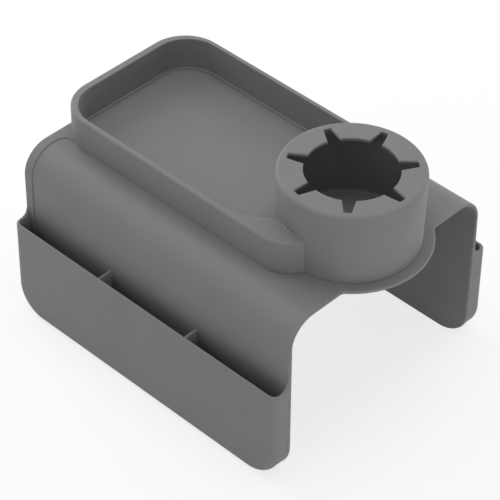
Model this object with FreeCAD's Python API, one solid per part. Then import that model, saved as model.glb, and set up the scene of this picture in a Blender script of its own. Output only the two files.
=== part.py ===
import FreeCAD, Part
import math
import os

# Sofa arm tray: a soft silicone saddle with a dish, a cup holder and side pockets.
# Millimetres, +Z up, X along the sofa arm with the cup at +X, Y across the arm.
# The origin is at the bottom centre of the whole tray.

# Saddle sheet
length = 262.0
arch_width = 188.0
arch_height = 136.8
sheet = 2.3
shoulder_radius = 19.0
wing_corner_radius = 25.0

# Raised hem along the back end of the saddle and up the front end of each wing
hem_width = 8.0
hem_rise = 0.5

# Dish behind the cup
tray_width = 133.0
tray_height = 27.0
tray_wall_thickness = 4.0
tray_back_thickness = 6.2
tray_back_radius = 31.0
tray_front_radius = 30.0
tray_front_setback = 58.0
tray_front_sweep = 76.0
land_setback = 97.5
land_angle = 38.0
land_reach = 40.0
tray_rim_bevel = 1.2
tray_foot_flare = 1.5
tray_foot_lip = 0.4
tray_floor_rise = 1.0
tray_groove = 1.5

# Cup holder
cup_setback = 36.5
cup_radius_base = 49.8
cup_radius_top = 50.7
cup_height = 56.0
cup_wall = 4.0
cup_foot_flare = 1.5
cup_foot_lip = 0.4
flange_radius = 59.0
flange_blend = 6.0

# Flats that make up each curved foot and the collar's rounded edge
round_flats = 3

# Grip collar and its flexible petals
collar_thickness = 4.0
collar_round = 3.0
petal_count = 7
petal_thickness = 2.6
petal_root_distance = 40.3
petal_tip_radius = 33.0
slot_width_outer = 6.0
slot_width_inner = 10.0
slot_end_round = 3.0

# Side pockets
pocket_height = 81.3
pocket_depth = 14.1
pocket_wall = 2.4
pocket_edge_round = 5.0
pocket_inner_bevel = 1.5
pocket_inset = 0.5
pocket_gusset = 6.5
gusset_lip = 0.5
divider_thickness = 2.0
divider_pitch = 86.0
divider_drop = 0.6

# Clearances
fold_gap = 0.3
hem_fold_relief = 4.0

# Places worked out from the sizes above
overhang = flange_radius - cup_setback
x_back = -(length + overhang) / 2
x_front = x_back + length
x_middle = (x_back + x_front) / 2
x_cup = x_front - cup_setback
deck_top = arch_height + sheet
flat_half = arch_width / 2 - shoulder_radius
wing_inner = arch_width / 2
wing_outer = wing_inner + sheet
wing_middle = wing_inner + sheet / 2
shoulder_low = arch_height - shoulder_radius
fold_height = shoulder_low - fold_gap - sheet / 2
tray_half = tray_width / 2
tray_rim = deck_top + tray_height
cup_top = deck_top + cup_height
collar_low = cup_top - collar_thickness
petal_pitch = 360.0 / petal_count
petal_fold_distance = petal_root_distance - fold_gap - petal_thickness / 2

V = FreeCAD.Vector
ACROSS = V(0, 1, 0)
UP = V(0, 0, 1)
ALONG = V(1, 0, 0)


def box(x_range, y_range, z_range):
    """Block between two values on each axis."""
    low = V(x_range[0], y_range[0], z_range[0])
    size = [r[1] - r[0] for r in (x_range, y_range, z_range)]
    return Part.makeBox(size[0], size[1], size[2], low)


def mirrored(shape):
    """The same form on the far side of the arm."""
    return shape.mirror(V(0, 0, 0), ACROSS)


def arc(start, middle, end):
    """Edge through three points of a circle."""
    return Part.Arc(start, middle, end).toShape()


def arc_about(centre, radius, first, last, place):
    """Arc of a circle between two angles in degrees; place turns (u, v) into a point."""
    points = []
    for angle in (first, (first + last) / 2, last):
        a = math.radians(angle)
        points.append(place(centre[0] + radius * math.cos(a), centre[1] + radius * math.sin(a)))
    return arc(points[0], points[1], points[2])


def flats_about(centre, radius, first, last, place):
    """Arc between two angles drawn as a few flats, as a soft edge is cut in a mould."""
    points = []
    for number in range(round_flats + 1):
        a = math.radians(first + (last - first) * number / round_flats)
        points.append(place(centre[0] + radius * math.cos(a), centre[1] + radius * math.sin(a)))
    return [Part.makeLine(points[n], points[n + 1]) for n in range(round_flats)]


def on_deck(x, y):
    """Point of a plan outline at the top of the deck."""
    return V(x, y, deck_top)


def joined(edges):
    """Face bounded by edges that follow each other, with straight runs closing any gaps."""
    closed = []
    for number, edge in enumerate(edges):
        closed.append(edge)
        start = edge.valueAt(edge.LastParameter)
        following = edges[(number + 1) % len(edges)]
        end = following.valueAt(following.FirstParameter)
        if (end - start).Length > 1e-6:
            closed.append(Part.makeLine(start, end))
    return Part.Face(Part.Wire(closed))


def export(node, shape):
    """Write one named piece."""
    shape.exportStep("parts/" + node + ".step")


def upright_panel(x_low, x_high, z_low, z_high, radius, y_face, depth):
    """Panel standing along X with round lower corners, from y_face outwards by depth (near side)."""
    def place(x, z):
        return V(x, -y_face, z)
    left = arc_about((x_low + radius, z_low + radius), radius, 180, 270, place)
    right = arc_about((x_high - radius, z_low + radius), radius, 270, 360, place)
    top = Part.makeLine(place(x_high, z_high), place(x_low, z_high))
    return joined([left, right, top]).extrude(V(0, -depth, 0))


def front_edges(panel, y_front, z_high):
    """Edges round the panel's outer face, without its open top edge."""
    edges = []
    for edge in panel.Edges:
        at_front = all(abs(vertex.Y + y_front) < 1e-6 for vertex in edge.Vertexes)
        at_top = all(abs(vertex.Z - z_high) < 1e-6 for vertex in edge.Vertexes)
        if at_front and not at_top:
            edges.append(edge)
    return edges


def tray_outline(inset):
    """Plan of the dish's outer wall, moved inwards by inset, running on into the cup barrel."""
    half = tray_half - inset
    back = x_back + inset
    corner = tray_back_radius - inset
    nose = tray_front_radius - inset
    start = x_front - tray_front_setback
    sweep = tray_front_sweep
    near_nose = arc_about((start, nose - half), nose, 270, 270 + sweep, on_deck)
    far_nose = arc_about((start, half - nose), nose, 90 - sweep, 90, on_deck)
    far_back = arc_about((back + corner, half - corner), corner, 90, 180, on_deck)
    near_back = arc_about((back + corner, corner - half), corner, 180, 270, on_deck)
    return joined([near_nose, far_nose, far_back, near_back])


def tray_inside(inset):
    """Plan of the dish's hollow: round back corners, and front corners cut off by slanting lands."""
    half = tray_half - tray_wall_thickness - inset
    back = x_back + tray_back_thickness + inset
    corner = tray_back_radius - tray_wall_thickness - inset
    start = x_front - land_setback
    turn = land_angle
    slope = math.radians(turn)
    near_turn = arc_about((start, corner - half), corner, 270, 270 + turn, on_deck)
    far_turn = arc_about((start, half - corner), corner, 90 - turn, 90, on_deck)
    end = near_turn.valueAt(near_turn.LastParameter)
    reach = V(end.x + land_reach * math.cos(slope), end.y + land_reach * math.sin(slope), deck_top)
    near_land = Part.makeLine(end, reach)
    far_land = Part.makeLine(V(reach.x, -reach.y, deck_top), V(end.x, -end.y, deck_top))
    far_back = arc_about((back + corner, half - corner), corner, 90, 180, on_deck)
    near_back = arc_about((back + corner, corner - half), corner, 180, 270, on_deck)
    return joined([near_turn, near_land, far_land, far_turn, far_back, near_back])


def flare_section(place, offset):
    """Hollow-curved foot section beside a wall that stands at a distance of offset."""
    low = deck_top + tray_foot_lip
    root = offset - tray_wall_thickness / 2
    foot = offset + tray_foot_flare
    base = Part.makeLine(place(root, deck_top), place(foot, deck_top))
    lip = Part.makeLine(place(foot, deck_top), place(foot, low))
    curve = flats_about((foot, low + tray_foot_flare), tray_foot_flare, 270, 180, place)
    top = Part.makeLine(place(offset, low + tray_foot_flare), place(root, low + tray_foot_flare))
    return joined([base, lip] + curve + [top])


def tray_foot():
    """Flare round the near foot of the dish: back corner, straight side and front nose."""
    start = x_front - tray_front_setback
    back = x_back + tray_back_radius
    nose_centre = V(start, tray_front_radius - tray_half, 0)
    back_centre = V(back, tray_back_radius - tray_half, 0)
    nose = flare_section(lambda r, z: V(nose_centre.x, nose_centre.y - r, z), tray_front_radius)
    corner = flare_section(lambda r, z: V(back_centre.x, back_centre.y - r, z), tray_back_radius)
    side = flare_section(lambda r, z: V(back, -r, z), tray_half)
    return [
        nose.revolve(nose_centre, UP, tray_front_sweep),
        corner.revolve(back_centre, UP, -90),
        side.extrude(ALONG * (start - back)),
    ]


def turned_about_cup(edges):
    """Solid of revolution about the cup's axis, from a profile in the XZ plane."""
    return joined(edges).revolve(V(x_cup, 0, 0), UP, 360)


def cup_profile_point(r, z):
    """Profile point at a radius from the cup's axis."""
    return V(x_cup + r, 0, z)


def barrel_outside():
    """Outer line of the barrel: foot lip, hollow foot flare and slightly opening wall."""
    low = deck_top + cup_foot_lip
    foot = cup_radius_base + cup_foot_flare
    lip = Part.makeLine(cup_profile_point(foot, deck_top), cup_profile_point(foot, low))
    flare = flats_about((foot, low + cup_foot_flare), cup_foot_flare, 270, 180, cup_profile_point)
    rim = Part.makeLine(cup_profile_point(cup_radius_top, collar_low), cup_profile_point(0, collar_low))
    return [lip] + flare, rim


def barrel_core():
    """Everything inside the barrel's outer surface, used to seat the dish against it."""
    outside, rim = barrel_outside()
    base = Part.makeLine(cup_profile_point(0, deck_top), outside[0].valueAt(outside[0].FirstParameter))
    return turned_about_cup(outside + [rim, base])


def make_deck(dish):
    """Flat top of the saddle with the round flange under the cup and the hem up to the dish."""
    plate = box((x_back, x_front), (-flat_half, flat_half), (arch_height, deck_top))
    flange = Part.makeCylinder(flange_radius, sheet, V(x_cup, 0, arch_height))
    deck = plate.fuse(flange).removeSplitter()
    half_chord = math.sqrt(flange_radius ** 2 - cup_setback ** 2)
    corners = []
    for edge in deck.Edges:
        upright = abs(edge.tangentAt(edge.FirstParameter).z) > 0.99
        centre = edge.CenterOfMass
        if upright and abs(centre.x - x_front) < 1e-6 and abs(abs(centre.y) - half_chord) < 1e-6:
            corners.append(edge)
    deck = deck.makeFillet(flange_blend, corners)
    hem_z = (deck_top, deck_top + hem_rise)
    back_inner = tray_half - 0.8 * tray_back_radius
    back_hem = box((x_back, x_back + hem_width), (-flat_half, -back_inner), hem_z)
    back_hem = back_hem.cut(dish)
    return deck.fuse([back_hem, mirrored(back_hem)]).removeSplitter()


def shoulder_band(x_low, x_high, thickness):
    """Quarter bend from the deck's edge down to the fold, between two places along the arm."""
    def place(y, z):
        return V(x_low, -y, z)
    centre = (flat_half, shoulder_low)
    outer = arc_about(centre, shoulder_radius + thickness, 90, 0, place)
    inner = arc_about(centre, shoulder_radius, 0, 90, place)
    return joined([outer, inner]).extrude(ALONG * (x_high - x_low))


def make_shoulder():
    """Near shoulder with the hem at its back end."""
    shoulder = shoulder_band(x_back, x_front, sheet)
    hem = shoulder_band(x_back, x_back + hem_width, sheet + hem_rise)
    return shoulder.fuse(hem).removeSplitter()


def make_wing():
    """Near side panel with a round folding edge at its top and the hem above the pocket."""
    wing = upright_panel(x_back, x_front, 0, fold_height, wing_corner_radius, wing_inner, sheet)
    fold = Part.makeCylinder(sheet / 2, length, V(x_back, -wing_middle, fold_height), ALONG)
    wing = wing.fuse(fold)
    hem_z = (pocket_height, fold_height - hem_fold_relief)
    for x_low in (x_back, x_front - hem_width):
        hem = box((x_low, x_low + hem_width), (-wing_outer - hem_rise, -wing_outer), hem_z)
        wing = wing.fuse(hem)
    return wing.removeSplitter()


def pocket_hollow(top):
    """Space inside the near pocket, closed off at a height."""
    low = x_back + pocket_inset + pocket_wall
    high = x_front - pocket_inset - pocket_wall
    radius = wing_corner_radius - pocket_inset - pocket_wall
    depth = pocket_depth - pocket_wall
    hollow = upright_panel(low, high, pocket_wall, top, radius, wing_outer, depth)
    return hollow.makeChamfer(pocket_inner_bevel, front_edges(hollow, wing_outer + depth, top))


def make_gusset(x_low):
    """Curved rise of a pocket's end wall from its rim up to the hem on the wing."""
    def place(y, z):
        return V(x_low, -y, z)
    face = wing_outer + hem_rise
    out = face + pocket_gusset
    top = pocket_height + pocket_gusset - gusset_lip
    reach = pocket_gusset - gusset_lip
    base = Part.makeLine(place(face, pocket_height), place(out, pocket_height))
    curve = arc_about((out, top), reach, 270, 180, place)
    crest = Part.makeLine(place(face + gusset_lip, top), place(face, top))
    return joined([base, curve, crest]).extrude(ALONG * pocket_wall)


def make_pocket():
    """Near pocket: front, ends and bottom in one wall, open at the top and backed by the wing."""
    low = x_back + pocket_inset
    high = x_front - pocket_inset
    radius = wing_corner_radius - pocket_inset
    outside = upright_panel(low, high, 0, pocket_height, radius, wing_outer, pocket_depth)
    edges = front_edges(outside, wing_outer + pocket_depth, pocket_height)
    outside = outside.makeFillet(pocket_edge_round, edges)
    pocket = outside.cut(pocket_hollow(pocket_height + pocket_wall))
    for x_low in (low, high - pocket_wall):
        pocket = pocket.fuse(make_gusset(x_low))
    return pocket.removeSplitter()


def make_divider(x_centre):
    """Thin wall between two compartments of the near pocket."""
    half = divider_thickness / 2
    slab = box((x_centre - half, x_centre + half), (-wing_outer - pocket_depth, -wing_outer),
               (0, pocket_height - divider_drop))
    return slab.common(pocket_hollow(pocket_height))


def make_tray_wall():
    """Rim of the dish, with lands that fill its front corners up to the cup barrel."""
    outside = tray_outline(0).extrude(UP * tray_height)
    hollow = tray_inside(0).extrude(UP * tray_height)
    wall = outside.cut(hollow)
    rim = [e for e in wall.Edges if all(abs(v.Z - tray_rim) < 1e-6 for v in e.Vertexes)]
    wall = wall.makeChamfer(tray_rim_bevel, rim)
    near_foot = tray_foot()
    wall = wall.fuse(near_foot + [mirrored(solid) for solid in near_foot]).removeSplitter()
    behind = box((x_back - length, x_back), (-arch_width, arch_width), (deck_top, tray_rim))
    return wall.cut(behind).cut(barrel_core())


def make_tray_floor():
    """Raised floor of the dish, set in from the wall by a narrow groove."""
    floor = tray_inside(tray_groove).extrude(UP * tray_floor_rise)
    foot = cup_radius_base + cup_foot_flare + tray_groove
    return floor.cut(Part.makeCylinder(foot, tray_floor_rise, V(x_cup, 0, deck_top)))


def make_barrel():
    """Cup barrel, open at the top, standing on the deck's flange."""
    outside, rim = barrel_outside()
    top = Part.makeLine(rim.valueAt(rim.FirstParameter),
                        cup_profile_point(cup_radius_top - cup_wall, collar_low))
    inside = Part.makeLine(top.valueAt(top.LastParameter),
                           cup_profile_point(cup_radius_base - cup_wall, deck_top))
    return turned_about_cup(outside + [top, inside])


def make_collar():
    """Ring on top of the barrel with one flat seat for each petal and a slot at each corner."""
    shoulder = (cup_radius_top - collar_round, cup_top - collar_round)
    base = Part.makeLine(cup_profile_point(0, collar_low), cup_profile_point(cup_radius_top, collar_low))
    edge = flats_about(shoulder, collar_round, 0, 90, cup_profile_point)
    axis = Part.makeLine(cup_profile_point(0, cup_top), cup_profile_point(0, collar_low))
    ring = turned_about_cup([base] + edge + [axis])
    corner = petal_root_distance / math.cos(math.radians(petal_pitch / 2))
    points = []
    for number in range(petal_count + 1):
        a = math.radians(petal_pitch * number)
        points.append(V(x_cup + corner * math.cos(a), corner * math.sin(a), collar_low))
    hole = Part.Face(Part.makePolygon(points)).extrude(UP * collar_thickness)
    uprights = [e for e in hole.Edges if abs(e.tangentAt(e.FirstParameter).z) > 0.99]
    return ring.cut(hole.makeFillet(slot_end_round, uprights))


def make_petal(number):
    """Flap of the grip, with a round folding edge along its seat on the collar."""
    half_pitch = math.radians(petal_pitch / 2)
    low = cup_top - petal_thickness
    root = petal_fold_distance
    root_half = (root * math.sin(half_pitch) - slot_width_outer / 2) / math.cos(half_pitch)
    tip_angle = half_pitch - math.asin(slot_width_inner / 2 / petal_tip_radius)

    def place(u, v):
        return V(x_cup + u, v, low)
    tip_x = petal_tip_radius * math.cos(tip_angle)
    tip_y = petal_tip_radius * math.sin(tip_angle)
    tip = arc(place(tip_x, tip_y), place(petal_tip_radius, 0), place(tip_x, -tip_y))
    seat = Part.makeLine(place(root, -root_half), place(root, root_half))
    flap = joined([seat, tip]).extrude(UP * petal_thickness)
    fold = Part.makeCylinder(petal_thickness / 2, 2 * root_half,
                             V(x_cup + root, -root_half, cup_top - petal_thickness / 2), ACROSS)
    petal = flap.fuse(fold).removeSplitter()
    petal.rotate(V(x_cup, 0, 0), UP, petal_pitch * (number + 0.5))
    return petal


os.makedirs("parts", exist_ok=True)

tray_wall = make_tray_wall()
export("tray_wall", tray_wall)
export("deck_panel", make_deck(tray_wall))
export("tray_floor", make_tray_floor())
export("cup_barrel", make_barrel())
export("grip_collar", make_collar())
for petal_number in range(petal_count):
    export("grip_petal_%d" % (petal_number + 1), make_petal(petal_number))

near_pieces = {
    "shoulder": make_shoulder(),
    "wing": make_wing(),
    "pocket": make_pocket(),
    "divider_back": make_divider(x_middle - divider_pitch / 2),
    "divider_front": make_divider(x_middle + divider_pitch / 2),
}
for piece, near_shape in near_pieces.items():
    export("near_" + piece, near_shape)
    export("far_" + piece, mirrored(near_shape))
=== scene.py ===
import math
import bmesh
import bpy
import numpy as np
from mathutils import Matrix, Vector


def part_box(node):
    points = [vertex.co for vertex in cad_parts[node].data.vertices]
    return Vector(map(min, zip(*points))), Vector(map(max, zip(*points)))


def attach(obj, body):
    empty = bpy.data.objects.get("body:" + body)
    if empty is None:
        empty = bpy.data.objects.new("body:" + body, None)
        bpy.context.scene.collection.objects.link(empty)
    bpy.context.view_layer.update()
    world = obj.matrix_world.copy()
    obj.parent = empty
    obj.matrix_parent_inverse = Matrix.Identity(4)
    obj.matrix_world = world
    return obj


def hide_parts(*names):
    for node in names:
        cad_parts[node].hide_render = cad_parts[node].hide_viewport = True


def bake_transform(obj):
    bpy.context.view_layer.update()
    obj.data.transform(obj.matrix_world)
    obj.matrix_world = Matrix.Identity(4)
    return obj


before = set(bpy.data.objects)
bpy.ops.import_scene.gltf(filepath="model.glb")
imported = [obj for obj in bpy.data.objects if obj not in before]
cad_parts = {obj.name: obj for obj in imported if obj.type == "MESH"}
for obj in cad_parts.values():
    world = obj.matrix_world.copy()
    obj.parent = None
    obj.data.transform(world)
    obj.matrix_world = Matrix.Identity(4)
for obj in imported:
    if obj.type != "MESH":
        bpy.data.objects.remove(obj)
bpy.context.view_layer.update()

# The saddle: deck, two shoulders and two hanging sides, one sheet of soft grey silicone moulded with the
# tray. A low hem behind a fine groove runs along the back end, and a soft step up the front of each side.
# Each half is one skin curved over its shoulder into its hanging side; both meet under the dish.
sheet = 0.0023
shoulder_bend = 0.019
side_corner = 0.025
side_thicker = 0.0010
hem_width = 0.008
hem_rise = 0.0005
hem_step = (-0.0004, 0.0002)
hem_groove_place = 0.0003
hem_groove_depth = 0.0005
hem_groove_width = 0.00042
hem_turn = 0.008
front_hem_fade = 0.0015
front_hem_start = (-0.004, 0.022)
flange_fade = 0.002
# Painted highlight along the sheet's free edges: its fade, its share, and its extra share on the flange.
edge_highlight_fade = (0.0004, 0.0016)
edge_highlight_share = 0.15
flange_highlight_share = 0.5
flange_radius = 0.059
flange_blend = 0.006
dish_half = 0.0665
dish_back_round = 0.031
silicone_grey = (0.196, 0.201, 0.199)
silicone_grain = 0.22
merge_distance = 2e-6
crisp_angle = math.radians(40)

wing_low, wing_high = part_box("near_wing")
deck_low, deck_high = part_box("deck_panel")
x_back = wing_low[0]
x_front = wing_high[0]
arm_half = -wing_high[1]
deck_under = deck_low[2]
deck_top = deck_under + sheet
cup_x = deck_high[0] - flange_radius
sheet_middle = deck_under + sheet / 2
bend_radius = shoulder_bend + sheet / 2
flat_half = arm_half - shoulder_bend
bend_length = bend_radius * math.pi / 2
sheet_reach = flat_half + bend_length + sheet_middle - bend_radius


def silicone_finish(name, grey, grain):
    """Matte moulded silicone: cloudy tone over centimetres, fine speckle, a fine spark-eroded grain as
    bump, patches of rubbed lower roughness, and slightly lighter edges from the piece's own edge
    attribute, which are painted highlight along rims, lips and edges."""
    finish = bpy.data.materials.new(name)
    finish.use_nodes = True
    tree = finish.node_tree
    shader = tree.nodes["Principled BSDF"]
    shader.inputs["IOR"].default_value = 1.41
    shader.inputs["Specular IOR Level"].default_value = 0.42
    shader.inputs["Sheen Weight"].default_value = 0.04
    shader.inputs["Sheen Roughness"].default_value = 0.6
    place = tree.nodes.new("ShaderNodeTexCoord")

    def cloud(scale, detail):
        noise = tree.nodes.new("ShaderNodeTexNoise")
        noise.inputs["Scale"].default_value = scale
        noise.inputs["Detail"].default_value = detail
        tree.links.new(place.outputs["Object"], noise.inputs["Vector"])
        return noise.outputs["Fac"]

    def toned(factor, low, high, share_low, share_high):
        ramp = tree.nodes.new("ShaderNodeValToRGB")
        ramp.color_ramp.elements[0].position = low
        ramp.color_ramp.elements[1].position = high
        ramp.color_ramp.elements[0].color = [c * share_low for c in grey] + [1]
        ramp.color_ramp.elements[1].color = [c * share_high for c in grey] + [1]
        tree.links.new(factor, ramp.inputs["Fac"])
        return ramp.outputs["Color"]

    def mixed(factor, first, second):
        mix = tree.nodes.new("ShaderNodeMix")
        mix.data_type = "RGBA"
        if isinstance(factor, float):
            mix.inputs["Factor"].default_value = factor
        else:
            tree.links.new(factor, mix.inputs["Factor"])
        tree.links.new(first, mix.inputs["A"])
        tree.links.new(second, mix.inputs["B"])
        return mix.outputs["Result"]

    broad = toned(cloud(16, 3), 0.3, 0.7, 0.965, 1.035)
    speckle = toned(cloud(1500, 2), 0.35, 0.65, 0.93, 1.07)
    body = mixed(0.35, broad, speckle)
    # The edge attribute mixes in a lighter tone: painted highlight along rims, lips and edges.
    edge = tree.nodes.new("ShaderNodeAttribute")
    edge.attribute_name = "edge"
    pale = toned(cloud(240, 2), 0.3, 0.7, 1.06, 1.16)
    tree.links.new(mixed(edge.outputs["Fac"], body, pale), shader.inputs["Base Color"])
    rubbed = tree.nodes.new("ShaderNodeMapRange")
    rubbed.inputs["From Min"].default_value = 0.3
    rubbed.inputs["From Max"].default_value = 0.7
    rubbed.inputs["To Min"].default_value = 0.54
    rubbed.inputs["To Max"].default_value = 0.64
    tree.links.new(cloud(45, 4), rubbed.inputs["Value"])
    tree.links.new(rubbed.outputs["Result"], shader.inputs["Roughness"])
    wave = tree.nodes.new("ShaderNodeBump")
    wave.inputs["Strength"].default_value = 0.10
    wave.inputs["Distance"].default_value = 0.0006
    tree.links.new(cloud(28, 2), wave.inputs["Height"])
    bump = tree.nodes.new("ShaderNodeBump")
    bump.inputs["Strength"].default_value = grain
    bump.inputs["Distance"].default_value = 0.00006
    tree.links.new(cloud(2300, 3), bump.inputs["Height"])
    tree.links.new(wave.outputs["Normal"], bump.inputs["Normal"])
    tree.links.new(bump.outputs["Normal"], shader.inputs["Normal"])
    return finish


def squares(rows, columns, first):
    """Corner numbers of the squares of a grid of points stored row by row from number first."""
    here = np.arange(rows - 1)[:, None] * columns + np.arange(columns - 1)[None]
    corners = (here, here + 1, here + columns + 1, here + columns)
    return np.stack(corners, -1).reshape(-1, 4) + first


def new_piece(name, grids, plain_faces, finish, edges=None):
    """Object from grids of points (rows x columns x 3) and lists of point numbers for the plain faces.
    Doubles are merged and all faces turned outwards; edges that turn by more than crisp_angle stay
    crisp."""
    points = np.concatenate([grid.reshape(-1, 3) for grid in grids])
    faces = []
    first = 0
    for grid in grids:
        faces.extend(squares(grid.shape[0], grid.shape[1], first).tolist())
        first += grid.shape[0] * grid.shape[1]
    faces.extend(plain_faces)
    mesh = bpy.data.meshes.new(name)
    mesh.from_pydata(points.tolist(), [], faces)
    # The edges arrays become the point attribute edge: the share of painted highlight the finish mixes in.
    if edges is not None:
        painted_highlight_layer = mesh.attributes.new("edge", "FLOAT", "POINT")
        painted_highlight_layer.data.foreach_set("value", np.concatenate([e.ravel() for e in edges]).astype(np.float32))
    shell = bmesh.new()
    shell.from_mesh(mesh)
    bmesh.ops.remove_doubles(shell, verts=shell.verts, dist=merge_distance)
    bmesh.ops.recalc_face_normals(shell, faces=shell.faces)
    shell.to_mesh(mesh)
    shell.free()
    mesh.shade_smooth()
    mesh.set_sharp_from_angle(angle=crisp_angle)
    mesh.materials.append(finish)
    piece = bpy.data.objects.new(name, mesh)
    bpy.context.scene.collection.objects.link(piece)
    return piece


def eased(value, low, high):
    """Smooth step from 0 at low to 1 at high."""
    share = np.clip((value - low) / (high - low), 0, 1)
    return share * share * (3 - 2 * share)


def on_saddle(x, along, height, side):
    """Point of the bent sheet: along is measured over deck, quarter bend and side from the middle line,
    height from the sheet's middle surface outwards."""
    turn = np.clip((along - flat_half) / bend_radius, 0, math.pi / 2)
    drop = np.maximum(along - flat_half - bend_length, 0)
    across = np.minimum(along, flat_half) + bend_radius * np.sin(turn) + height * np.sin(turn)
    up = sheet_middle - bend_radius + (bend_radius + height) * np.cos(turn) - drop
    return np.stack([x + 0 * across, side * across, up], -1)


def saddle_front(along):
    """Front edge of the flat pattern: the round flange before the cup, its hollow blend, the straight
    end, and the rounded lower corner."""
    centre_x = x_front + flange_blend
    centre_a = math.sqrt((flange_radius + flange_blend) ** 2 - (centre_x - cup_x) ** 2)
    touch = centre_a * flange_radius / (flange_radius + flange_blend)
    round_part = cup_x + np.sqrt(np.maximum(flange_radius ** 2 - along ** 2, 0))
    hollow = centre_x - np.sqrt(np.maximum(flange_blend ** 2 - (along - centre_a) ** 2, 0))
    edge = np.where(along < touch, round_part, np.where(along < centre_a, hollow, x_front))
    return edge - corner_inset(along)


def corner_inset(along):
    """How far the rounded lower corner takes the end of the side in, at a distance along the pattern."""
    rise = np.clip(side_corner - (sheet_reach - along), 0, side_corner)
    return side_corner - np.sqrt(side_corner ** 2 - rise ** 2)


def saddle_edge_distance(x, along):
    """Distance to the free edge of the flat pattern, measured square to it."""
    low = sheet_reach - along
    centre_x = x_front + flange_blend
    centre_a = math.sqrt((flange_radius + flange_blend) ** 2 - (centre_x - cup_x) ** 2)
    tangent = math.atan2(centre_a, centre_x - cup_x)
    from_cup = np.hypot(x - cup_x, along)
    from_blend = np.hypot(x - centre_x, along - centre_a) - flange_blend
    at_flange = np.arctan2(along, np.maximum(x - cup_x, 1e-9)) < tangent
    front = np.where(at_flange, flange_radius - from_cup, np.where(along < centre_a, from_blend, x_front - x))
    nearest = []
    for end in (x - x_back, front):
        corner = side_corner - np.hypot(side_corner - end, side_corner - low)
        nearest.append(np.where((end < side_corner) & (low < side_corner), corner, np.minimum(end, low)))
    return np.maximum(np.minimum(nearest[0], nearest[1]), 0)


def saddle_hem(x, along):
    """Signed distance to the inner border of the back hem, negative on the hem: a straight strip along
    the end, the dish's round back corner, and between them an arc that touches both."""
    corner_x = x_back + dish_back_round
    corner_a = dish_half - dish_back_round
    centre_x = x_back + hem_width + hem_turn
    reach = dish_back_round + hem_turn
    centre_a = corner_a + math.sqrt(reach ** 2 - (corner_x - centre_x) ** 2)
    strip = x - x_back - hem_width
    dish = np.hypot(corner_x - x, np.maximum(along - corner_a, 0)) - dish_back_round
    to_dish = math.atan2(centre_a - corner_a, corner_x - centre_x)
    facing = np.arctan2(centre_a - along, x - centre_x) > to_dish
    arc = np.where(facing, hem_turn - np.hypot(x - centre_x, along - centre_a), dish_back_round)
    return np.where(x < corner_x, np.minimum(np.minimum(strip, dish), arc), dish_back_round)


silicone = silicone_finish("silicone_skin", silicone_grey, silicone_grain)
edge_steps = np.array([0, 0.03, 0.12, 0.3, 0.55, 0.85, 1.15, 1.7, 2.5, 3.6, 5, 6.4]) / 1000
hem_steps = np.concatenate([np.linspace(0.0072, 0.0096, 15), np.linspace(0.01, 0.0195, 25)])
end_steps = np.concatenate([edge_steps, hem_steps])
low_steps = side_corner * (1 - np.cos(np.linspace(0, math.pi / 2, 30)))
saddle_rows = np.unique(np.round(np.concatenate([
    np.linspace(0, 0.040, 18),
    np.linspace(0.040, 0.056, 30),
    np.linspace(0.056, 0.063, 6),
    np.linspace(0.063, flat_half, 32),
    np.linspace(flat_half, flat_half + bend_length, 32),
    np.linspace(flat_half + bend_length, flat_half + bend_length + 0.024, 20),
    np.linspace(flat_half + bend_length + 0.026, sheet_reach - side_corner, 26),
    sheet_reach - low_steps,
    sheet_reach - edge_steps[:8],
]), 7))
saddle_along = saddle_rows[:, None]
saddle_x_low = x_back + corner_inset(saddle_along)
saddle_x_high = saddle_front(saddle_along)
inner_low = saddle_x_low + end_steps[-1]
inner_high = saddle_x_high - end_steps[-1]
inner_shares = np.linspace(0, 1, 26)[1:-1]
saddle_x = np.concatenate([
    saddle_x_low + end_steps,
    inner_low + (inner_high - inner_low) * inner_shares,
    saddle_x_high - end_steps[::-1],
], 1)
saddle_along = saddle_along + 0 * saddle_x
edge_gap = saddle_edge_distance(saddle_x, saddle_along)
hem_gap = saddle_hem(saddle_x, saddle_along)
edge_share = np.sqrt(1 - (1 - np.minimum(edge_gap / (sheet / 2), 1)) ** 2)
hem_height = hem_rise * (1 - eased(hem_gap, *hem_step))
hem_height = hem_height - hem_groove_depth * np.exp(-((hem_gap - hem_groove_place) / hem_groove_width) ** 2)
front_gap = x_front - saddle_x
front_hem = 1 - eased(front_gap, hem_width - front_hem_fade, hem_width + front_hem_fade)
bend_end = flat_half + bend_length
hem_height = hem_height + hem_rise * front_hem * eased(saddle_along - bend_end, *front_hem_start)
side_draft = side_thicker * np.clip((saddle_along - bend_end) / (sheet_reach - bend_end), 0, 1)
on_flange = eased(saddle_x, x_front - flange_fade, x_front + flange_fade)
# Painted highlight along the sheet's free edges, stronger on the cup's flange.
painted_edge_highlight = (edge_highlight_share + flange_highlight_share * on_flange) * (1 - eased(edge_gap, *edge_highlight_fade))
for side_name, side in (("near", -1), ("far", 1)):
    outer = on_saddle(saddle_x, saddle_along, edge_share * (sheet / 2 + hem_height), side)
    inner = on_saddle(saddle_x, saddle_along, -edge_share * (sheet / 2 + side_draft), side)
    middle_cap = np.stack([outer[0], inner[0]])
    saddle = new_piece(side_name + "_saddle_skin", [outer, inner, middle_cap], [], silicone,
                       [painted_edge_highlight, painted_edge_highlight, np.zeros((2, saddle_x.shape[1]))])
    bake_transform(saddle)
    if side_name == "near":
        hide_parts("deck_panel", "near_shoulder", "near_wing")
    else:
        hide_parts("far_shoulder", "far_wing")

# The pockets: a shallow open trough of the same silicone on the outside of each hanging side, as wide as
# the side and moulded onto it. Its rim is a plain rounded lip that runs up onto the side at both ends.
pocket_wall = 0.0024
pocket_height = 0.0813
pocket_inset = 0.0004
pocket_side_round = 0.0062
pocket_low_round = 0.0045
pocket_root = 0.0012
pocket_gusset = 0.0075
lip_highlight = 0.35
wing_out = arm_half + sheet
pocket_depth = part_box("far_pocket")[1][1] - wing_out


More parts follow.
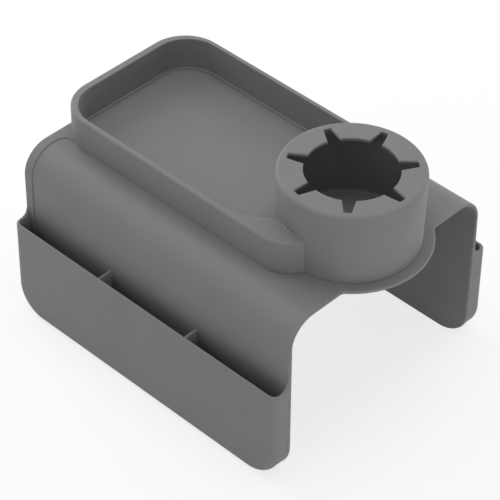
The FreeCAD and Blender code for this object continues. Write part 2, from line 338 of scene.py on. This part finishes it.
def pocket_skin(offset, depth, side):
    """Wall of the pocket as a grid: the U-shaped outline of the side, moved in by offset, times a profile
    that runs out square to the side and turns by a quarter round into the front face."""
    lift = np.linspace(0, 1, 12)[:-1]
    turn = np.linspace(0, math.pi / 2, 22)
    left = x_back + pocket_inset + side_corner
    right = x_front - pocket_inset - side_corner
    flat = np.linspace(0, 1, 20)[1:-1]
    count = 2 * len(lift) + 2 * len(turn) + len(flat)
    path_x = np.concatenate([
        np.full(len(lift), left - side_corner), left - side_corner * np.cos(turn),
        left + (right - left) * flat,
        right + side_corner * np.sin(turn), np.full(len(lift), right + side_corner)])
    path_z = np.concatenate([
        np.full(len(lift), side_corner), side_corner * (1 - np.sin(turn)), np.zeros(len(flat)),
        side_corner * (1 - np.cos(turn)), np.full(len(lift), side_corner)])
    inward_x = np.concatenate([
        np.ones(len(lift)), np.cos(turn), 0 * flat, -np.sin(turn), -np.ones(len(lift))])
    inward_z = np.concatenate([0 * lift, np.sin(turn), 0 * flat + 1, np.cos(turn), 0 * lift])
    share = np.concatenate([1 - lift, np.zeros(count - 2 * len(lift)), 1 - lift[::-1]])
    low = np.abs(inward_z) ** 1.5
    radius = pocket_side_round * (1 - low) + pocket_low_round * low - 0.75 * offset
    swing = np.linspace(0, math.pi / 2, 9)
    rise = np.concatenate([np.linspace(0, 1, 14)[:-1] ** 1.4, np.ones(len(swing))])
    bow_in = np.concatenate([np.zeros(13), 1 - np.cos(swing)])
    bow_out = np.concatenate([np.zeros(13), np.sin(swing)])
    straight = depth - radius[:, None] + pocket_root
    out = -pocket_root + straight * rise + radius[:, None] * bow_out
    step_in = offset + radius[:, None] * bow_in
    near_side = np.clip(pocket_gusset - out, 0, pocket_gusset)
    lip = pocket_height - pocket_wall / 2 + pocket_gusset - np.sqrt(pocket_gusset ** 2 - near_side ** 2)
    x = path_x[:, None] + inward_x[:, None] * step_in
    z = path_z[:, None] + inward_z[:, None] * step_in + share[:, None] * (lip - side_corner)
    return np.stack([x, side * (wing_out + out), z], -1)


def lip_path(skin):
    """Upper edge of a pocket wall, from the side out along one end, across the front and back."""
    return np.concatenate([skin[0], skin[-1][::-1]])


def rolled_lip(outer_path, inner_path):
    """Half-round rim carried along the two upper edges: each point swings from the outer edge over the
    top to the inner edge, square to the path."""
    middle = (outer_path + inner_path) / 2
    half = (outer_path - inner_path) / 2
    forward = np.gradient(middle, axis=0)
    forward /= np.linalg.norm(forward, axis=1)[:, None]
    over = np.cross(forward, half)
    over *= np.sign(over[:, 2] + 1e-12)[:, None]
    over *= (np.linalg.norm(half, axis=1) / np.linalg.norm(over, axis=1))[:, None]
    swing = np.linspace(0, math.pi, 11)[:, None, None]
    return middle + half * np.cos(swing) + over * np.sin(swing)


for side_name, side in (("near", -1), ("far", 1)):
    outside = pocket_skin(0.0, pocket_depth, side)
    inside = pocket_skin(pocket_wall, pocket_depth - pocket_wall, side)
    lip = rolled_lip(lip_path(outside), lip_path(inside))
    root = np.stack([outside[:, 0], inside[:, 0]])
    rows, columns = outside.shape[:2]
    front_face = (np.arange(rows) * columns + columns - 1).tolist()
    back_face = [rows * columns + corner for corner in front_face]
    lip_first = 2 * rows * columns
    lip_rows, lip_columns = lip.shape[:2]
    end_caps = [(lip_first + np.arange(lip_rows) * lip_columns + c).tolist() for c in (0, lip_columns - 1)]
    # Painted highlight along the top of the rolled lip.
    pocket_lip_highlight = np.repeat(lip_highlight * np.sin(np.linspace(0, math.pi, lip_rows))[:, None], lip_columns, 1)
    flat_edge = np.zeros((rows, columns))
    pocket = new_piece(side_name + "_pocket_shell", [outside, inside, lip, root],
                       [front_face, back_face] + end_caps, silicone,
                       [flat_edge, flat_edge, pocket_lip_highlight, np.zeros((2, rows))])
    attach(pocket, side_name + "_side")
    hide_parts(side_name + "_pocket")

# The dividers: two thin upright ribs in each pocket that make three compartments. They are moulded with
# the pocket, with rounded tops just below its rim, and run a little way into the side and the pocket's
# front.
divider_half = 0.001
divider_sunk = 0.0009
divider_highlight = 0.3


def divider_rib(x_centre, z_top, side):
    """Upright rib: a profile of two faces and a half-round top carried out straight across the pocket."""
    out = np.linspace(-divider_sunk, pocket_depth - pocket_wall + divider_sunk, 9)[:, None]
    sweep = np.concatenate([[0], np.linspace(0, math.pi, 13), [math.pi]])[None]
    z = z_top - divider_half + divider_half * np.sin(sweep) + 0 * out
    z[:, 0] = pocket_wall / 2
    z[:, -1] = pocket_wall / 2
    x = x_centre + divider_half * np.cos(sweep) + 0 * out
    return np.stack([x, side * (wing_out + out) + 0 * x, z], -1)


for side_name, side in (("near", -1), ("far", 1)):
    for place in ("back", "front"):
        node = side_name + "_divider_" + place
        node_low, node_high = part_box(node)
        rib = divider_rib((node_low[0] + node_high[0]) / 2, node_high[2], side)
        rows, columns = rib.shape[:2]
        ends = [list(range(columns)), list(range((rows - 1) * columns, rows * columns))]
        foot = np.stack([rib[:, 0], rib[:, -1]])
        # Painted highlight over the rib's round top.
        over_top = np.r_[0, np.sin(np.linspace(0, math.pi, columns - 2)), 0]
        rib_top_highlight = np.repeat(divider_highlight * over_top[None], rows, 0)
        divider = new_piece(node + "_rib", [rib, foot], ends, silicone, [rib_top_highlight, np.zeros((2, rows))])
        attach(divider, side_name + "_side")
        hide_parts(node)

# The dish wall: an upright rim of the same silicone round the dish, moulded up from the deck with a fine
# foot and a rounded lip. At the front its corners are filled by slanting lands that run up to the cup's
# barrel, with a hollow crease outside and a small raised bead against the barrel on top.
dish_wall = 0.004
dish_back_wall = 0.0062
dish_nose_round = 0.030
dish_nose_setback = 0.058
dish_crease = 0.0012
land_setback = 0.0975
land_angle = math.radians(38)
dish_foot = 0.0003
nose_foot = 0.0005
dish_outer_lip = 0.0018
dish_inner_lip = 0.0007
land_inner_lip = 0.0060
land_rounding = 0.45
land_lead = 0.004
rim_flat = 0.0003
deck_sink = 0.0002
foot_fade = (0.0005, 0.006)
back_sink_fade = (0.0002, 0.004)
dish_inner_foot = 0.0006
dish_ledge = 0.0017
cup_wall_middle = 0.0478
cup_side_radius = 0.0504
arc_count = 24
bead_radius = 0.0012
bead_out = 0.0006
bead_sink = 0.0001
bead_start = 0.16
bead_stop = 0.02
dish_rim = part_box("tray_wall")[1][2]
floor_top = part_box("tray_floor")[1][2]


def arc_points(centre, radius, first, last, count):
    """Points of a circle between two angles, as two columns."""
    angle = np.linspace(first, last, count)[:, None]
    return np.asarray(centre) + radius * np.concatenate([np.cos(angle), np.sin(angle)], 1)


def line_points(start, end, count):
    """Evenly spaced points between two, without the last."""
    share = np.linspace(0, 1, count, endpoint=False)[:, None]
    return np.asarray(start) * (1 - share) + np.asarray(end) * share


def angle_of(point, centre):
    """Direction of a point seen from a centre."""
    return math.atan2(point[1] - centre[1], point[0] - centre[0])


cup_centre = np.array([cup_x, 0.0])
corner_y = dish_back_round - dish_half
nose_centre = np.array([x_front - dish_nose_setback, dish_nose_round - dish_half])
inner_round = dish_back_round - dish_wall
back_inside = x_back + dish_back_wall
turn_x = x_front - land_setback
quarter = math.pi / 2

# The crease's hollow round touches the nose and the barrel, so two circles about their centres meet at
# its own
to_cup = cup_centre - nose_centre
between = np.linalg.norm(to_cup)
nose_reach = dish_nose_round + dish_crease
cup_reach = cup_side_radius + dish_crease
along_line = (nose_reach ** 2 - cup_reach ** 2 + between ** 2) / (2 * between)
off_line = math.sqrt(nose_reach ** 2 - along_line ** 2)
line_way = to_cup / between
crease_centre = nose_centre + along_line * line_way + off_line * np.array([line_way[1], -line_way[0]])
nose_touch = nose_centre + (crease_centre - nose_centre) * dish_nose_round / nose_reach
cup_touch = cup_centre + (crease_centre - cup_centre) * cup_side_radius / cup_reach
outer_half = np.concatenate([
    line_points((x_back, 0), (x_back, corner_y), 14),
    arc_points((x_back + dish_back_round, corner_y), dish_back_round, 2 * quarter, 3 * quarter, 26)[:-1],
    line_points((x_back + dish_back_round, -dish_half), (nose_centre[0], -dish_half), 26),
    arc_points(nose_centre, dish_nose_round, -quarter, angle_of(nose_touch, nose_centre), 31)[:-1],
    arc_points(crease_centre, dish_crease, angle_of(nose_touch, crease_centre),
               angle_of(cup_touch, crease_centre), 13),
])
turn_centre = np.array([turn_x, corner_y])
turn_end = turn_centre + inner_round * np.array([math.sin(land_angle), -math.cos(land_angle)])
slope = np.array([math.cos(land_angle), math.sin(land_angle)])
from_cup = turn_end - cup_centre
ahead = from_cup @ slope
land_reach = -ahead - math.sqrt(ahead ** 2 - from_cup @ from_cup + cup_wall_middle ** 2)
land_end = turn_end + slope * land_reach
inner_half = np.concatenate([
    line_points((back_inside, 0), (back_inside, corner_y), 14),
    arc_points((back_inside + inner_round, corner_y), inner_round, 2 * quarter, 3 * quarter, 26)[:-1],
    line_points((back_inside + inner_round, dish_wall - dish_half), (turn_x, dish_wall - dish_half), 26),
    arc_points(turn_centre, inner_round, -quarter, land_angle - quarter, 20)[:-1],
    line_points(turn_end, land_end, 23),
    land_end[None],
])


def both_halves(half):
    """The half plan and its mirror image as one path, from the near end at the cup round the back to the
    far end."""
    mirror = half[1:] * np.array([1, -1])
    return np.concatenate([half[::-1], mirror])


def path_sides(path):
    """Unit vectors square to a plan path, to its right when walking along it."""
    way = np.gradient(path, axis=0)
    way /= np.linalg.norm(way, axis=1)[:, None]
    return np.stack([way[:, 1], -way[:, 0]], -1)


def carried(plan, sides, away, up):
    """Profile of distances away from the plan path and heights, carried along it; both may change on the
    way."""
    flat = plan[:, None] + sides[:, None] * away[..., None]
    return np.concatenate([flat, np.broadcast_to(up, away.shape)[..., None]], -1)


outer_plan = both_halves(outer_half)
inner_plan = both_halves(inner_half)
outer_side = -path_sides(outer_plan)
inner_side = path_sides(inner_plan)
turn = np.linspace(0, quarter, 8)
stations = len(outer_plan)
still = np.ones((stations, 1))
from_back = outer_plan[:, :1] - x_back
at_nose = eased(outer_plan[:, :1], nose_centre[0], nose_centre[0] + dish_nose_round / 2)
foot_size = dish_foot + at_nose * (nose_foot - dish_foot)
foot_room = eased(from_back, *foot_fade) * foot_size
foot_away = foot_room * (1 - 2 * at_nose)
foot_sink = deck_sink + (1 - eased(from_back, *back_sink_fade)) * (sheet / 2 - deck_sink)
lip_low = dish_rim - dish_outer_lip
outer_away = np.concatenate([
    foot_away, foot_away * (1 - np.sin(turn)), 0 * still,
    still * -dish_outer_lip * (1 - np.cos(turn)), still * -(dish_outer_lip + rim_flat)], 1)
outer_up = np.concatenate([
    deck_top - foot_sink, deck_top + foot_room * (1 - np.cos(turn)), still * (deck_top + lip_low) / 2,
    still * (lip_low + dish_outer_lip * np.sin(turn)), still * dish_rim], 1)
outer_wall = carried(outer_plan, outer_side, outer_away, outer_up)
rim_width = np.linalg.norm(inner_plan[:, None] - outer_plan[None], axis=-1).min(1)[:, None]
on_land = inner_plan[:, :1] > turn_x - land_lead
land_growth = np.where(on_land, land_rounding * (rim_width - dish_wall), 0)
inner_lip = np.clip(dish_inner_lip + land_growth, dish_inner_lip, land_inner_lip)
inner_away = np.concatenate([
    -inner_lip - rim_flat, -inner_lip * (1 - np.sin(turn)), 0 * still,
    still * dish_inner_foot * (1 - np.cos(turn)), still * dish_ledge, still * dish_ledge], 1)
inner_up = np.concatenate([
    still * dish_rim, dish_rim - inner_lip * (1 - np.cos(turn)), still * (deck_top + dish_rim) / 2,
    still * (floor_top + dish_inner_foot * (1 - np.sin(turn))), still * floor_top,
    still * (deck_top - deck_sink)], 1)
inner_wall = carried(inner_plan, inner_side, inner_away, inner_up)


def run_into_cup(points, way):
    """Points moved on in a level direction until they lie in the middle of the cup's wall."""
    start = points[:, :2] - cup_centre
    ahead = start @ way
    reach = -ahead - np.sqrt(ahead ** 2 - (start ** 2).sum(1) + cup_wall_middle ** 2)
    return np.concatenate([points[:, :2] + reach[:, None] * way, points[:, 2:]], 1)


def cup_arc(start, end, count):
    """Points from one point to another, turning about the cup with evenly changing distance and
    height."""
    share = np.linspace(0, 1, count)
    radii = [np.linalg.norm(point[:2] - cup_centre) for point in (start, end)]
    angles = [angle_of(point, cup_centre) % (2 * math.pi) for point in (start, end)]
    radius = radii[0] + (radii[1] - radii[0]) * share
    angle = angles[0] + (angles[1] - angles[0]) * share
    z = start[2] + (end[2] - start[2]) * share
    return np.stack([cup_x + radius * np.cos(angle), radius * np.sin(angle), z], -1)


inner_wall[0] = run_into_cup(inner_wall[0], slope)
inner_wall[-1] = run_into_cup(inner_wall[-1], slope * np.array([1, -1]))
ends = [np.stack([cup_arc(outer_wall[e, -1], inner_wall[e, 0], arc_count),
                  cup_arc(outer_wall[e, 0], inner_wall[e, -1], arc_count)]) for e in (0, -1)]
outer_count, inner_count = outer_wall.shape[1], inner_wall.shape[1]
outer_number = np.arange(stations * outer_count).reshape(stations, outer_count)
inner_number = outer_number.size + np.arange(stations * inner_count).reshape(stations, inner_count)
arc_number = outer_number.size + inner_number.size + np.arange(4 * arc_count).reshape(2, 2, arc_count)

# The rim's flat top and the hidden underside are one face each, closed round the barrel by the arcs
closing = []
for outer_column, inner_column, level in ((-1, 0, 0), (0, -1, 1)):
    closing.append(np.concatenate([
        outer_number[:, outer_column], arc_number[1, level, 1:-1],
        inner_number[::-1, inner_column], arc_number[0, level, -2:0:-1]]).tolist())
for end in (0, -1):
    closing.append(outer_number[end].tolist())
    closing.append(inner_number[end].tolist())
# Painted highlight on the dish's rounded outer lip; the inner wall and end arcs carry none.
dish_lip_highlight = np.zeros((stations, outer_count))
lip_first = 2 + len(turn)
dish_lip_highlight[:, lip_first:lip_first + len(turn)] = lip_highlight * np.sin(2 * turn)
dish = new_piece("dish_wall_rim", [outer_wall, inner_wall] + ends, closing, silicone,
                 [dish_lip_highlight, np.zeros((stations, inner_count)), np.zeros((4, arc_count))])
for face in dish.data.polygons:
    face.use_smooth = len(face.vertices) == 4
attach(dish, "saddle")
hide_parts("tray_wall")


def land_bead(side):
    """Thin round bead along the barrel on top of a land: a circle carried along an arc about the cup,
    shrinking to nothing at both ends."""
    share = np.linspace(0, 1, 40)[:, None]
    first = angle_of(land_end, cup_centre) + bead_start
    last = angle_of(cup_touch, cup_centre) - bead_stop
    angle = first + (last - first) * share
    around = np.linspace(0, 2 * math.pi, 17)[None]
    thick = bead_radius * np.sqrt(np.sin(math.pi * share)).clip(0)
    radius = cup_side_radius + bead_out + thick * np.cos(around)
    z = dish_rim - bead_sink + thick * np.sin(around)
    return np.stack([cup_x + radius * np.cos(angle), -side * radius * np.sin(angle), z], -1)


for side_name, side in (("near", -1), ("far", 1)):
    bead = new_piece(side_name + "_land_bead", [land_bead(side)], [], silicone)
    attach(bead, "saddle")

# The dish floor: a flat of the same silicone inside the wall, moulded with the deck under it. A fine
# groove runs round it a little way in from the foot of the wall and of the cup's barrel.
floor_gap = 0.0022
floor_round = 0.00018
floor_sink = 0.0003
floor_cup_radius = 0.0514
floor_cup_spare = 0.0004
floor_plan = inner_plan + inner_side * floor_gap
from_cup = np.hypot(floor_plan[:, 0] - cup_x, floor_plan[:, 1])
floor_plan = floor_plan[from_cup > floor_cup_radius + floor_cup_spare]
first_angle = angle_of(floor_plan[-1], cup_centre)
last_angle = angle_of(floor_plan[0], cup_centre) + 2 * math.pi
round_cup = arc_points(cup_centre, floor_cup_radius, first_angle, last_angle, 60)
floor_loop = np.concatenate([floor_plan, round_cup])
floor_way = np.roll(floor_loop, -1, 0) - np.roll(floor_loop, 1, 0)
floor_way /= np.linalg.norm(floor_way, axis=1)[:, None]
floor_inward = np.stack([floor_way[:, 1], -floor_way[:, 0]], -1)
floor_in = np.concatenate([[0], floor_round * (1 - np.cos(turn))])
floor_up = np.concatenate([[deck_top - floor_sink], floor_top - floor_round * (1 - np.sin(turn))])
floor_grid = carried(floor_loop, floor_inward, np.ones((len(floor_loop), 1)) * floor_in, floor_up)
floor_grid = np.concatenate([floor_grid, floor_grid[:1]])
rows, columns = floor_grid.shape[:2]
floor_faces = [(np.arange(rows - 1) * columns + c).tolist() for c in (0, columns - 1)]
dish_floor = new_piece("dish_floor_plate", [floor_grid], floor_faces, silicone)
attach(dish_floor, "saddle")
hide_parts("tray_floor")

# The cup holder: a round barrel of the same silicone, moulded onto the deck's flange with a fine line at
# its foot, and a thick rounded collar on top that ends inside in the roots of the petals. Both are a
# little wider than their solids, and the collar stands a little higher.
cup_foot = 0.00045
well_foot_round = 0.003
cup_base_radius = 0.0506
cup_top_radius = 0.0516
cup_wall = 0.004
cup_sink = 0.0003
side_hold = 0.03
cup_top_round = 0.003
well_top_round = 0.0016
petal_root = 0.0465
petal_thickness = 0.0026
petal_count = 7
petal_steps = 40
collar_rise = 0.0017
cup_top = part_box("grip_collar")[1][2] + collar_rise


def turned(profile, steps):
    """Surface of a closed profile of radius and height turned about the cup's axis."""
    angle = np.linspace(0, 2 * math.pi, steps + 1)[:, None]
    radius = profile[None, :, 0]
    height = profile[None, :, 1] + 0 * angle
    return np.stack([cup_x + radius * np.cos(angle), radius * np.sin(angle), height], -1)


swing = np.linspace(0, math.pi / 2, 9)
outer_foot = np.stack([cup_base_radius - cup_foot * (1 - np.sin(swing)),
                       deck_top + cup_foot * (1 - np.cos(swing))], -1)
shoulder = np.stack([cup_top_radius - cup_top_round * (1 - np.cos(swing)),
                     cup_top - cup_top_round * (1 - np.sin(swing))], -1)
side_low = outer_foot[-1] + side_hold * (shoulder[0] - outer_foot[-1])
well_radius = cup_base_radius - cup_wall
well_foot = np.stack([well_radius - well_foot_round * (1 - np.cos(swing)),
                      deck_top + well_foot_round * (1 - np.sin(swing))], -1)
under_collar = cup_top - petal_thickness
well_top = np.stack([petal_root + well_top_round * np.sin(swing),
                     under_collar - well_top_round * (1 - np.cos(swing))], -1)
cup_bottom = deck_top - cup_sink
cup_profile = np.concatenate([
    [[outer_foot[0, 0], cup_bottom]], outer_foot, [side_low], shoulder, [[petal_root, cup_top]],
    well_top, well_foot, [[well_foot[-1, 0], cup_bottom], [outer_foot[0, 0], cup_bottom]]])
cup_grid = turned(cup_profile, petal_count * petal_steps)
cup = new_piece("cup_barrel_and_collar", [cup_grid], [], silicone)
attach(cup, "saddle")
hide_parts("cup_barrel", "grip_collar")

# The grip petals: seven flat flaps of the same silicone between slots through the collar, moulded in one
# with it. The ring of their tips holds cups of different widths.
petal_tip = 0.033
slot_end = 0.0456
slot_half_outer = 0.0026
slot_half_inner = 0.0047
slot_corner = 0.0009
petal_edge = 0.0006


def slot_half_width(radius):
    """Half the slot's width at a distance from the cup's axis: nothing beyond its square end, small round
    corners, then widening evenly towards the middle."""
    share = np.clip((slot_end - radius) / slot_corner, 0, 1)
    corner = slot_half_outer - slot_corner * (1 - np.sqrt(1 - (1 - share) ** 2))
    widened = corner + (slot_half_inner - slot_half_outer) * (slot_end - radius) / (slot_end - petal_tip)
    return np.where(radius > slot_end - 1e-7, 0, widened)


def petal_flap(angle):
    """Flap as top and under surfaces over distance from the cup's axis times angle across the petal; the
    edges fall away by a small round."""
    corner_steps = slot_corner * np.array([1e-3, 0.06, 0.2, 0.5, 1.0])
    tip_steps = np.array([7, 4, 2, 0.7, 0]) * 1e-4
    radius = np.concatenate([
        [petal_root, (petal_root + slot_end) / 2, slot_end], slot_end - corner_steps,
        np.linspace(slot_end - 0.0016, petal_tip + 0.0012, 16), petal_tip + tip_steps])[:, None]
    half_pitch = math.pi / petal_count
    reach = half_pitch - np.arcsin(slot_half_width(radius) / radius)
    inner = np.linspace(-1, 1, petal_steps + 1)[None]
    across = inner * reach
    to_side = (1 - np.abs(inner)) * reach * radius
    gap = np.minimum(np.where(radius < slot_end - 1e-6, to_side, 1), radius - petal_tip)
    fall = petal_edge * (1 - np.sqrt(1 - (1 - np.clip(gap / petal_edge, 0, 1)) ** 2))
    x = cup_x + radius * np.cos(angle + across)
    y = radius * np.sin(angle + across)
    top = np.stack([x, y, cup_top - fall], -1)
    under = np.stack([x, y, cup_top - petal_thickness + 0.5 * fall], -1)
    return top, under


for number in range(petal_count):
    angle = 2 * math.pi * (number + 0.5) / petal_count
    top, under = petal_flap(angle)
    left = np.stack([top[:, 0], under[:, 0]])
    right = np.stack([top[:, -1], under[:, -1]])
    tip = np.stack([top[-1], under[-1]])
    seat = np.stack([top[0], under[0]])
    name = "petal_%d" % (number + 1)
    petal = new_piece(name + "_flap", [top, under, left, right, tip, seat], [], silicone)
    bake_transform(petal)
    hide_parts("grip_" + name)

# The studio: a pale paper floor that carries the tray's soft shadow, even white surroundings, broad soft
# lamps above, behind and beside, and the camera at the height and side the tray is looked at from.
floor_half = 3.0
floor_level = -0.0002
paper_white = 0.9
surroundings = 0.32
shadow_depth = 0.26
paper_glow = 0.755
lamp_size = 1.4
low_lamp_size = 0.44
lamp_target = (0, 0, 0.1)
camera_right = Vector((0.71851, 0.69545, 0.00951))
camera_up = Vector((-0.46470, 0.46984, 0.75053))
camera_back = Vector((0.51749, -0.54368, 0.66077))
camera_place = Vector((0.88420, -0.93949, 1.20869))
camera_lens = 171.907
camera_sensor = 36
camera_far_limit = 50


def seen_rays(tree):
    """Socket that is 1 on rays that look at the backdrop, straight or by reflection or through glass."""
    path = tree.nodes.new("ShaderNodeLightPath")
    first = tree.nodes.new("ShaderNodeMath")
    first.operation = "MAXIMUM"
    tree.links.new(path.outputs["Is Camera Ray"], first.inputs[0])
    tree.links.new(path.outputs["Is Glossy Ray"], first.inputs[1])
    second = tree.nodes.new("ShaderNodeMath")
    second.operation = "MAXIMUM"
    tree.links.new(first.outputs[0], second.inputs[0])
    tree.links.new(path.outputs["Is Transmission Ray"], second.inputs[1])
    return second.outputs[0]


floor_mesh = bpy.data.meshes.new("studio_floor")
floor_signs = ((-1, -1), (1, -1), (1, 1), (-1, 1))
floor_corners = [(x * floor_half, y * floor_half, floor_level) for x, y in floor_signs]
floor_mesh.from_pydata(floor_corners, [], [(0, 1, 2, 3)])
floor = bpy.data.objects.new("studio_floor", floor_mesh)
bpy.context.scene.collection.objects.link(floor)
paper = bpy.data.materials.new("pale_paper")
paper.use_nodes = True
tree = paper.node_tree
shaded = tree.nodes["Principled BSDF"]
shaded.inputs["Roughness"].default_value = 0.9
shaded.inputs["Specular IOR Level"].default_value = 0
shaded.inputs["Base Color"].default_value = (paper_white, paper_white, paper_white, 1)
seen = tree.nodes.new("ShaderNodeBsdfDiffuse")
seen.inputs["Color"].default_value = (shadow_depth, shadow_depth, shadow_depth, 1)
glow = tree.nodes.new("ShaderNodeEmission")
glow.inputs["Strength"].default_value = paper_glow
both = tree.nodes.new("ShaderNodeAddShader")
tree.links.new(seen.outputs["BSDF"], both.inputs[0])
tree.links.new(glow.outputs["Emission"], both.inputs[1])
choice = tree.nodes.new("ShaderNodeMixShader")
tree.links.new(seen_rays(tree), choice.inputs["Fac"])
tree.links.new(shaded.outputs["BSDF"], choice.inputs[1])
tree.links.new(both.outputs["Shader"], choice.inputs[2])
tree.links.new(choice.outputs["Shader"], tree.nodes["Material Output"].inputs["Surface"])
floor_mesh.materials.append(paper)

world = bpy.data.worlds.new("studio")
world.use_nodes = True
tree = world.node_tree
level = tree.nodes.new("ShaderNodeMapRange")
level.inputs["To Min"].default_value = surroundings
level.inputs["To Max"].default_value = 1
tree.links.new(seen_rays(tree), level.inputs["Value"])
tree.nodes["Background"].inputs["Color"].default_value = (1, 1, 1, 1)
tree.links.new(level.outputs["Result"], tree.nodes["Background"].inputs["Strength"])
bpy.context.scene.world = world


def soft_lamp(name, place, power, size):
    """Square area lamp of a size and power at a place, turned to the tray and itself unseen."""
    lamp = bpy.data.lights.new(name, "AREA")
    lamp.size = size
    lamp.energy = power
    holder = bpy.data.objects.new(name, lamp)
    holder.location = place
    holder.rotation_euler = (Vector(lamp_target) - Vector(place)).to_track_quat("-Z", "Y").to_euler()
    holder.visible_camera = False
    bpy.context.scene.collection.objects.link(holder)


soft_lamp("lamp_above", (0, 0, 2.0), 12.4, lamp_size)
soft_lamp("lamp_far_side", (0, 1.7, 0.9), 8.6, lamp_size)
soft_lamp("lamp_near_side", (0, -1.7, 0.9), 3.2, lamp_size)
soft_lamp("lamp_behind", (-1.7, 0, 0.9), 16.7, lamp_size)
soft_lamp("lamp_cup_end", (1.9, -0.2, 0.22), 7.5, low_lamp_size)

camera_data = bpy.data.cameras.new("camera")
camera_data.sensor_width = camera_sensor
camera_data.lens = camera_lens
camera_data.clip_end = camera_far_limit
camera = bpy.data.objects.new("camera", camera_data)
camera_turn = Matrix((camera_right, camera_up, camera_back)).transposed().to_4x4()
camera.matrix_world = Matrix.Translation(camera_place) @ camera_turn
bpy.context.scene.collection.objects.link(camera)
bpy.context.scene.camera = camera
bpy.context.scene.view_settings.view_transform = "Standard"
